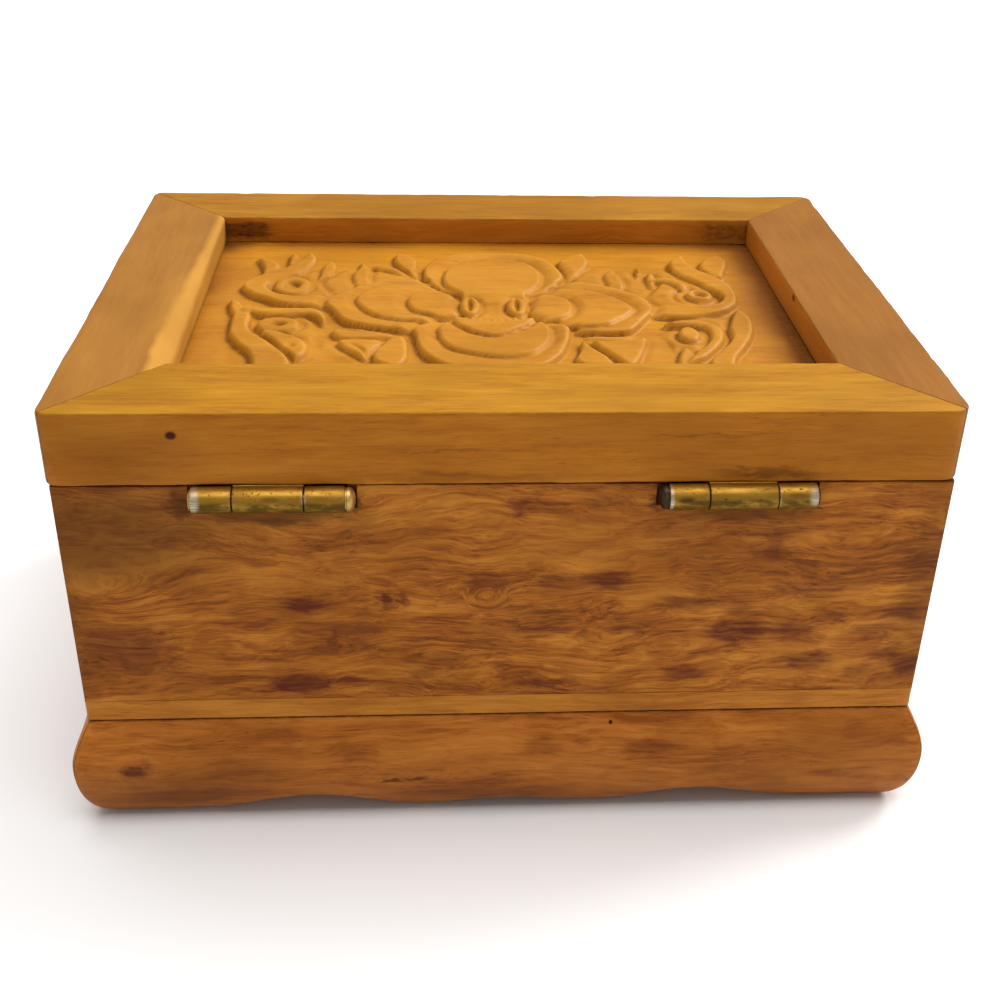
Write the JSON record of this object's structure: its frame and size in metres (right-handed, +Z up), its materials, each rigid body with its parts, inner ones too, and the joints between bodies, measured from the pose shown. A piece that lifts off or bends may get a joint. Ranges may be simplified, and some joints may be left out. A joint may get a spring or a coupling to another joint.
{
  "type": "keepsake box",
  "caption": "Wooden keepsake box with a framed, carved lid on brass butt hinges and a scalloped, moulded skirt.",
  "frame": {"origin": "on the table under the middle of the box", "axes": "+Z up, the front faces -Y, the hinges are at +Y, +X to the right as seen from the front"},
  "size_m": [0.1598, 0.1238, 0.0844],
  "materials": {
    "lid_wood": "satin varnish, worn edges",
    "panel_wood": "satin varnish",
    "wall_wood": "satin varnish",
    "board_wood": "satin varnish",
    "skirt_wood": "satin varnish",
    "hinge_brass": "worn, tarnished",
    "pin_brass": "worn",
    "screw_brass": "satin"
  },
  "bodies": {
    "box": {"back_wall": "wall_wood", "front_wall": "wall_wood", "left_wall": "wall_wood", "right_wall": "wall_wood", "bottom_board": "board_wood", "back_skirt": "skirt_wood", "front_skirt": "skirt_wood", "left_skirt": "skirt_wood", "right_skirt": "skirt_wood", "left_hinge_box_leaf": "hinge_brass", "left_hinge_pin": "pin_brass", "left_hinge_box_screws": "screw_brass", "right_hinge_box_leaf": "hinge_brass", "right_hinge_pin": "pin_brass", "right_hinge_box_screws": "screw_brass"},
    "lid": {"lid_back_rail": "lid_wood", "lid_front_rail": "lid_wood", "lid_left_rail": "lid_wood", "lid_right_rail": "lid_wood", "lid_carved_panel": "panel_wood", "left_hinge_lid_leaf": "hinge_brass", "left_hinge_lid_screws": "screw_brass", "right_hinge_lid_leaf": "hinge_brass", "right_hinge_lid_screws": "screw_brass"}
  },
  "joints": [
    {"name": "lid_hinge", "type": "hinge", "parent": "box", "child": "lid", "pos_m": [0, 0.0595, 0.0688], "axis": [-1, 0, 0], "range_deg": [0, 184]}
  ]
}
